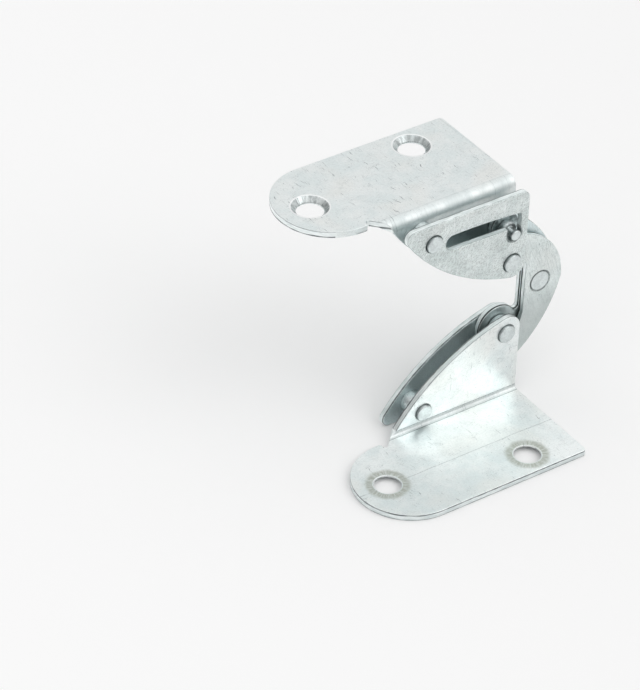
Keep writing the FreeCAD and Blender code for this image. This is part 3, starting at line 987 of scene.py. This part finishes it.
def set_camera(scene, stage):
    camera = bpy.data.objects.new("camera", bpy.data.cameras.new("camera"))
    scene.collection.objects.link(camera)
    turn, rise = stage.azimuth, stage.elevation
    back = Vector((math.sin(turn) * math.cos(rise), -math.cos(turn) * math.cos(rise), math.sin(rise)))
    camera.rotation_mode = "QUATERNION"
    camera.location = Vector(stage.target) + back * stage.distance
    upright = (-back).to_track_quat("-Z", "Y").to_matrix().to_4x4()
    camera.rotation_quaternion = (upright @ Matrix.Rotation(stage.roll, 4, "Z")).to_quaternion()
    camera.data.lens = stage.lens
    camera.data.sensor_width = SENSOR_MM
    camera.data.clip_start, camera.data.clip_end = CLIP
    scene.camera = camera


def set_floor(stage):
    """A wide floor just under the hinge."""
    deselect()
    bpy.ops.mesh.primitive_plane_add(size=FLOOR_SIZE, location=(0, 0, cad_box[0].z - FLOOR_GAP))
    floor = bpy.context.active_object
    floor.name = "floor"
    finish = Finish("floor_paper")
    values = {"Color": rgb(stage.floor_color), "Roughness": 1.0}
    paper = finish.node("ShaderNodeBsdfDiffuse", None, values)[0]
    finish.node("ShaderNodeOutputMaterial", None, {"Surface": paper})
    floor.data.materials.clear()
    floor.data.materials.append(finish.material)


def set_light(scene, stage):
    """Light from all round: pale at the horizon, a glow overhead and softboxes behind, right and in front."""
    world = bpy.data.worlds.new("studio")
    scene.world = world
    world.use_nodes = True
    graph = Graph(world.node_tree)
    direction = graph.node("ShaderNodeTexCoord")[0]
    height = graph.apart(direction)[2]
    strength = graph.step(abs(height), *HORIZON_ENDS, stage.horizon, stage.surround)
    strength = strength + graph.step(height, *OVERHEAD_GROWS) * stage.overhead
    # The way to each softbox, the cosines of the angles to its rim and to its core, and its strength
    boxes = (
        (Vector((0.90, 0.10, 0.35)), 0.86, 0.97, stage.right_box),
        (Vector((0.47, -0.62, 0.66)), 0.84, 0.98, stage.front_box),
        (Vector((0.40, 0.72, 0.57)), 0.50, 0.95, stage.back_box),
    )
    for aim, edge, core, power in boxes:
        values = (direction, aim.normalized())
        near = graph.node("ShaderNodeVectorMath", {"operation": "DOT_PRODUCT"}, values)[1]
        strength = strength + graph.step(near, edge, core) * power
    background = graph.node("ShaderNodeBackground", None, {0: (1.0, 1.0, 1.0, 1.0), 1: strength})[0]
    graph.node("ShaderNodeOutputWorld", None, (background,))


class HINGE_PT_panel(bpy.types.Panel):
    """The hinge's pieces and settings"""
    bl_idname = "HINGE_PT_panel"
    bl_label = "Folding leaf hinge"
    bl_space_type = "VIEW_3D"
    bl_region_type = "UI"
    bl_category = "Hinge"

    def draw(self, context):
        for group, settings_name in GROUPS.items():
            box = self.layout.box()
            box.label(text=group.__doc__)
            settings = getattr(context.scene, settings_name)
            for name in group.__annotations__:
                box.prop(settings, name)
        for step in STEPS:
            self.layout.operator(step.bl_idname)


GROUPS = {
    HingeColors: "hinge_colors",
    HingeCheekColors: "hinge_cheek_colors",
    HingeSizes: "hinge_sizes",
    StageSettings: "hinge_stage",
}
STEPS = (HINGE_OT_leaves, HINGE_OT_cheeks, HINGE_OT_links, HINGE_OT_spacers, HINGE_OT_rivets, HINGE_OT_stage)


def register():
    for group, name in GROUPS.items():
        bpy.utils.register_class(group)
        setattr(bpy.types.Scene, name, bpy.props.PointerProperty(type=group))
    for step in STEPS + (HINGE_PT_panel,):
        bpy.utils.register_class(step)


def unregister():
    for step in (HINGE_PT_panel,) + STEPS[::-1]:
        bpy.utils.unregister_class(step)
    for group, name in GROUPS.items():
        delattr(bpy.types.Scene, name)
        bpy.utils.unregister_class(group)


def main():
    register()
    bpy.ops.hinge.leaves()
    bpy.ops.hinge.cheeks()
    bpy.ops.hinge.links()
    bpy.ops.hinge.spacers()
    bpy.ops.hinge.rivets()
    bpy.ops.hinge.stage()


if __name__ == "__main__":
    main()
